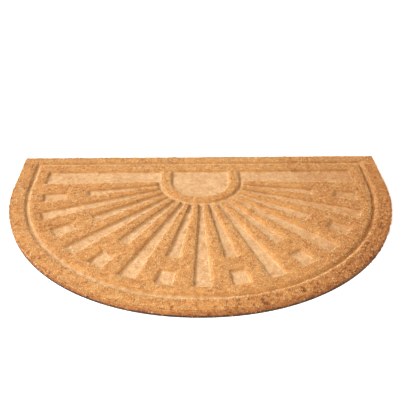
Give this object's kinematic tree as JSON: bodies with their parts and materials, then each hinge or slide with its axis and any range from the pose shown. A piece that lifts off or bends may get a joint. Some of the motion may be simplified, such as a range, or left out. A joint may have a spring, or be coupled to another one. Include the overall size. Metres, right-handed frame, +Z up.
{
  "type": "half-round coir doormat",
  "caption": "Half-round tufted coir doormat lying flat, with a sunburst and a border line pressed into its pile, on a thin dark vinyl backing.",
  "frame": {"origin": "middle of the bounding box, on the underside of the backing", "axes": "+X along the straight back edge, +Y towards the straight back edge, +Z up out of the pile"},
  "size_m": [0.752, 0.473, 0.015],
  "materials": {
    "coir": "coarse natural coir pile, golden tan, pressed smooth and paler in the hollows",
    "vinyl": "near-black vinyl sheet, matt"
  },
  "bodies": {
    "root": {"coir_pile": "coir", "vinyl_backing": "vinyl"}
  },
  "joints": []
}
